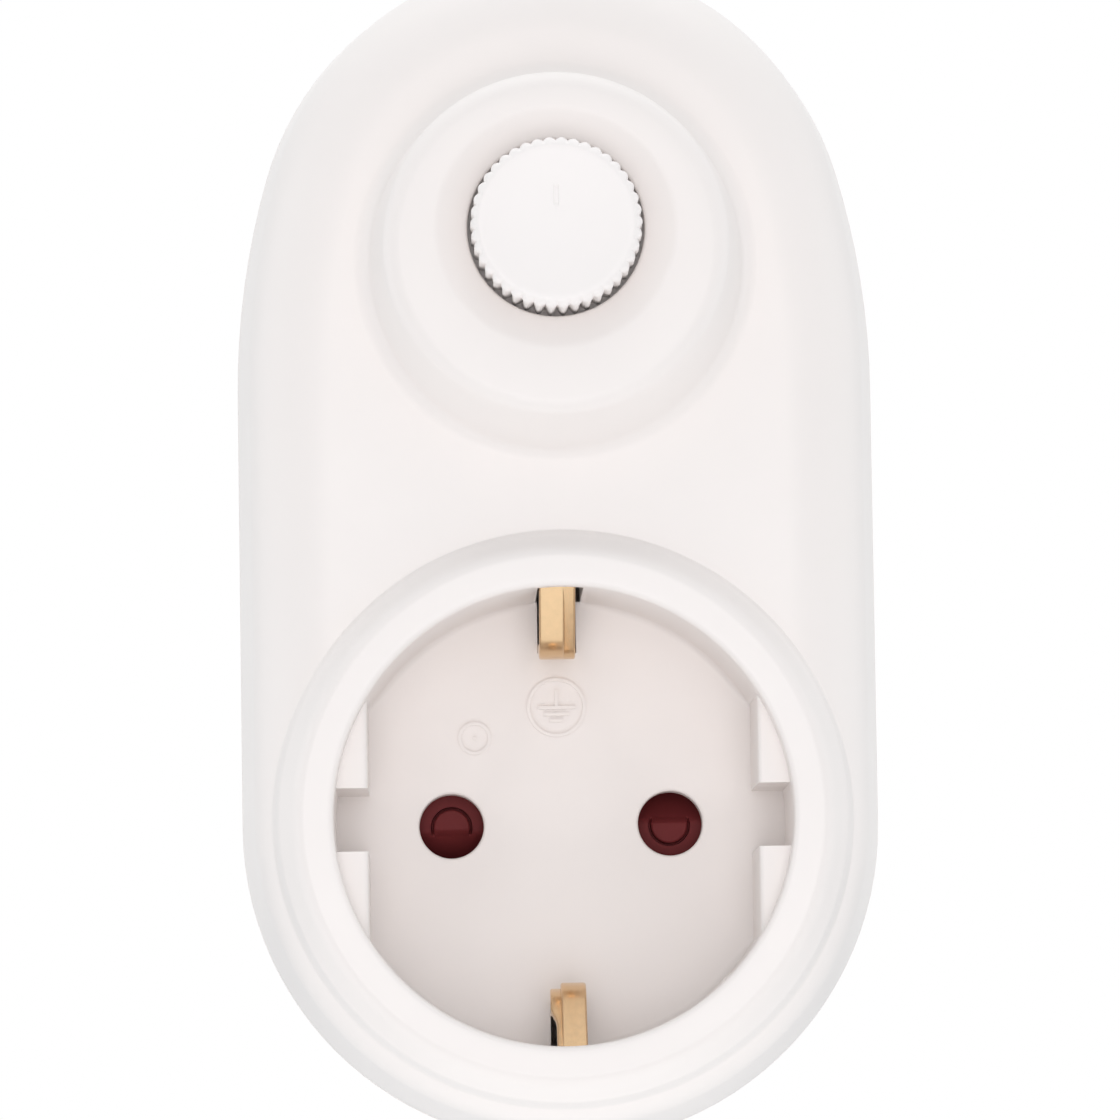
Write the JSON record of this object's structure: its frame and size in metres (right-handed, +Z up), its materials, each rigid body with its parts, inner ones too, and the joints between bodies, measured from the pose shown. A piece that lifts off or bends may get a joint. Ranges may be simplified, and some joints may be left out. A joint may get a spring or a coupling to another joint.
{
  "type": "plug-in dimmer",
  "caption": "Plug-in lamp dimmer: earthed plug behind, earthed socket in a round well in front, knurled turning knob on a boss above it, in a rounded two-shell housing.",
  "frame": {"origin": "on the plug's axis, in the end face of the plug that meets the wall socket's floor", "axes": "+Y into the wall along the plug pins, +Z up from the socket to the knob, +X to the right seen from the front"},
  "size_m": [0.0554, 0.0868, 0.1035],
  "materials": {
    "housing_plastic": "moulded off-white thermoplastic, fine satin gloss",
    "knob_plastic": "moulded white thermoplastic, satin gloss",
    "shutter_plastic": "moulded dark red plastic",
    "brass": "rolled brass strip, satin",
    "nickel": "nickel-plated brass, polished",
    "steel": "zinc-plated steel",
    "spring_steel": "drawn spring wire",
    "carrier_plastic": "heat-resistant moulding",
    "board_laminate": "paper laminate, satin",
    "black_plastic": "black moulding compound",
    "shaft_plastic": "moulded plastic",
    "sink_aluminium": "bent sheet, mill finish",
    "ferrite": "coated powder-iron ring",
    "copper_winding": "enamelled copper wire",
    "capacitor_yellow": "moulded box",
    "capacitor_red": "dipped coating",
    "resistor_body": "lacquered body with tinned wires",
    "diode_glass": "glass body with tinned wires",
    "fuse_glass": "clear glass tube",
    "fuse_metal": "nickel-plated caps",
    "lead_brown": "PVC insulation",
    "lead_black": "PVC insulation",
    "lead_blue": "PVC insulation"
  },
  "bodies": {
    "housing": {"front_shell": "housing_plastic", "rear_shell": "housing_plastic", "pot_housing": "black_plastic", "pot_bush": "brass", "circuit_board": "board_laminate", "triac": "black_plastic", "heat_sink": "sink_aluminium", "choke_core": "ferrite", "choke_winding": "copper_winding", "suppression_capacitor": "capacitor_yellow", "timing_capacitor": "capacitor_red", "resistors": "resistor_body", "diac": "diode_glass", "fuse_tube": "fuse_glass", "fuse_caps": "fuse_metal", "fuse_clips": "brass", "shutter_spring": "spring_steel", "contact_carrier": "carrier_plastic", "carrier_screws": "steel", "socket_contacts": "brass", "earth_strip_top": "brass", "earth_strip_bottom": "brass", "earth_bridge": "brass", "plug_pins": "nickel", "live_lead": "lead_brown", "load_lead": "lead_black", "neutral_lead": "lead_blue", "housing_screws": "steel"},
    "knob": {"dimmer_knob": "knob_plastic", "pot_shaft": "shaft_plastic"},
    "shutter": {"pin_shutter": "shutter_plastic"}
  },
  "joints": [
    {"name": "knob_turn", "type": "hinge", "parent": "housing", "child": "knob", "pos_m": [0, 0, 0.0498], "axis": [0, 1, 0], "range_deg": [-150, 150]},
    {"name": "shutter_turn", "type": "hinge", "parent": "housing", "child": "shutter", "pos_m": [0, 0, 0], "axis": [0, 1, 0], "range_deg": [0, 42], "stiffness_Nm_per_rad": 0.002}
  ]
}
